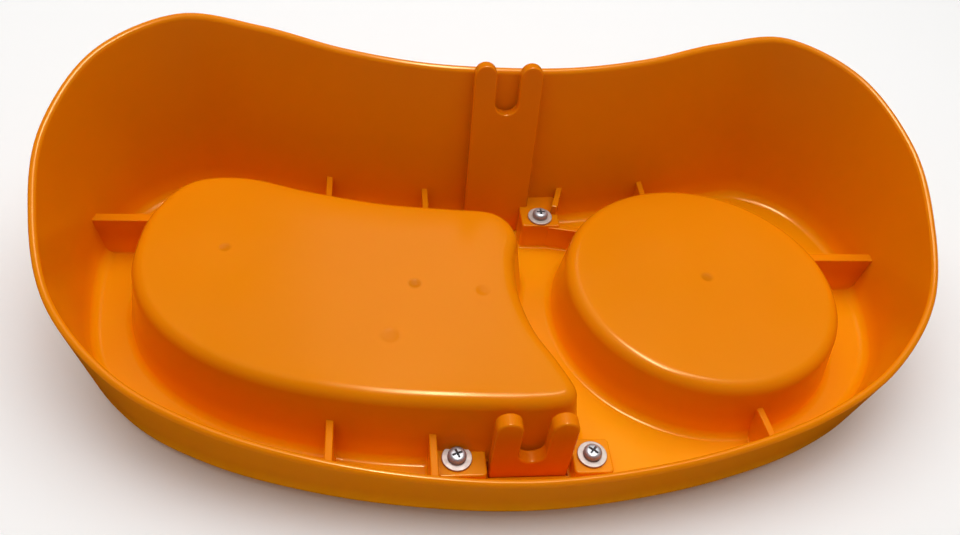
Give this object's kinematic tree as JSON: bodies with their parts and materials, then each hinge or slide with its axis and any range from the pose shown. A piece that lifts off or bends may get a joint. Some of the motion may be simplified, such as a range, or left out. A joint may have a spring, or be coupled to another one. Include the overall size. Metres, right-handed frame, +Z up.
{
  "type": "two-well training tray",
  "caption": "Kidney-shaped moulded tray with a sloping skirt, a long well, a round well and two forked uprights held by washered screws, lying open side up.",
  "frame": {"origin": "middle of the outline's extents, on the flat face of the deck that the tray lies on", "axes": "+X along the width towards the round well, +Y towards the high side of the skirt, +Z up out of the open underside"},
  "size_m": [0.3012, 0.1609, 0.0722],
  "materials": {
    "tray_plastic": "satin-gloss injection moulded orange",
    "fork_plastic": "satin-gloss injection moulded orange",
    "screw_steel": "zinc plated, a little dull",
    "washer_steel": "zinc plated, pale"
  },
  "bodies": {
    "root": {"tray_shell": "tray_plastic", "front_fork": "fork_plastic", "rear_fork": "fork_plastic", "rear_screw": "screw_steel", "front_left_screw": "screw_steel", "front_right_screw": "screw_steel", "rear_washer": "washer_steel", "front_left_washer": "washer_steel", "front_right_washer": "washer_steel"}
  },
  "joints": []
}
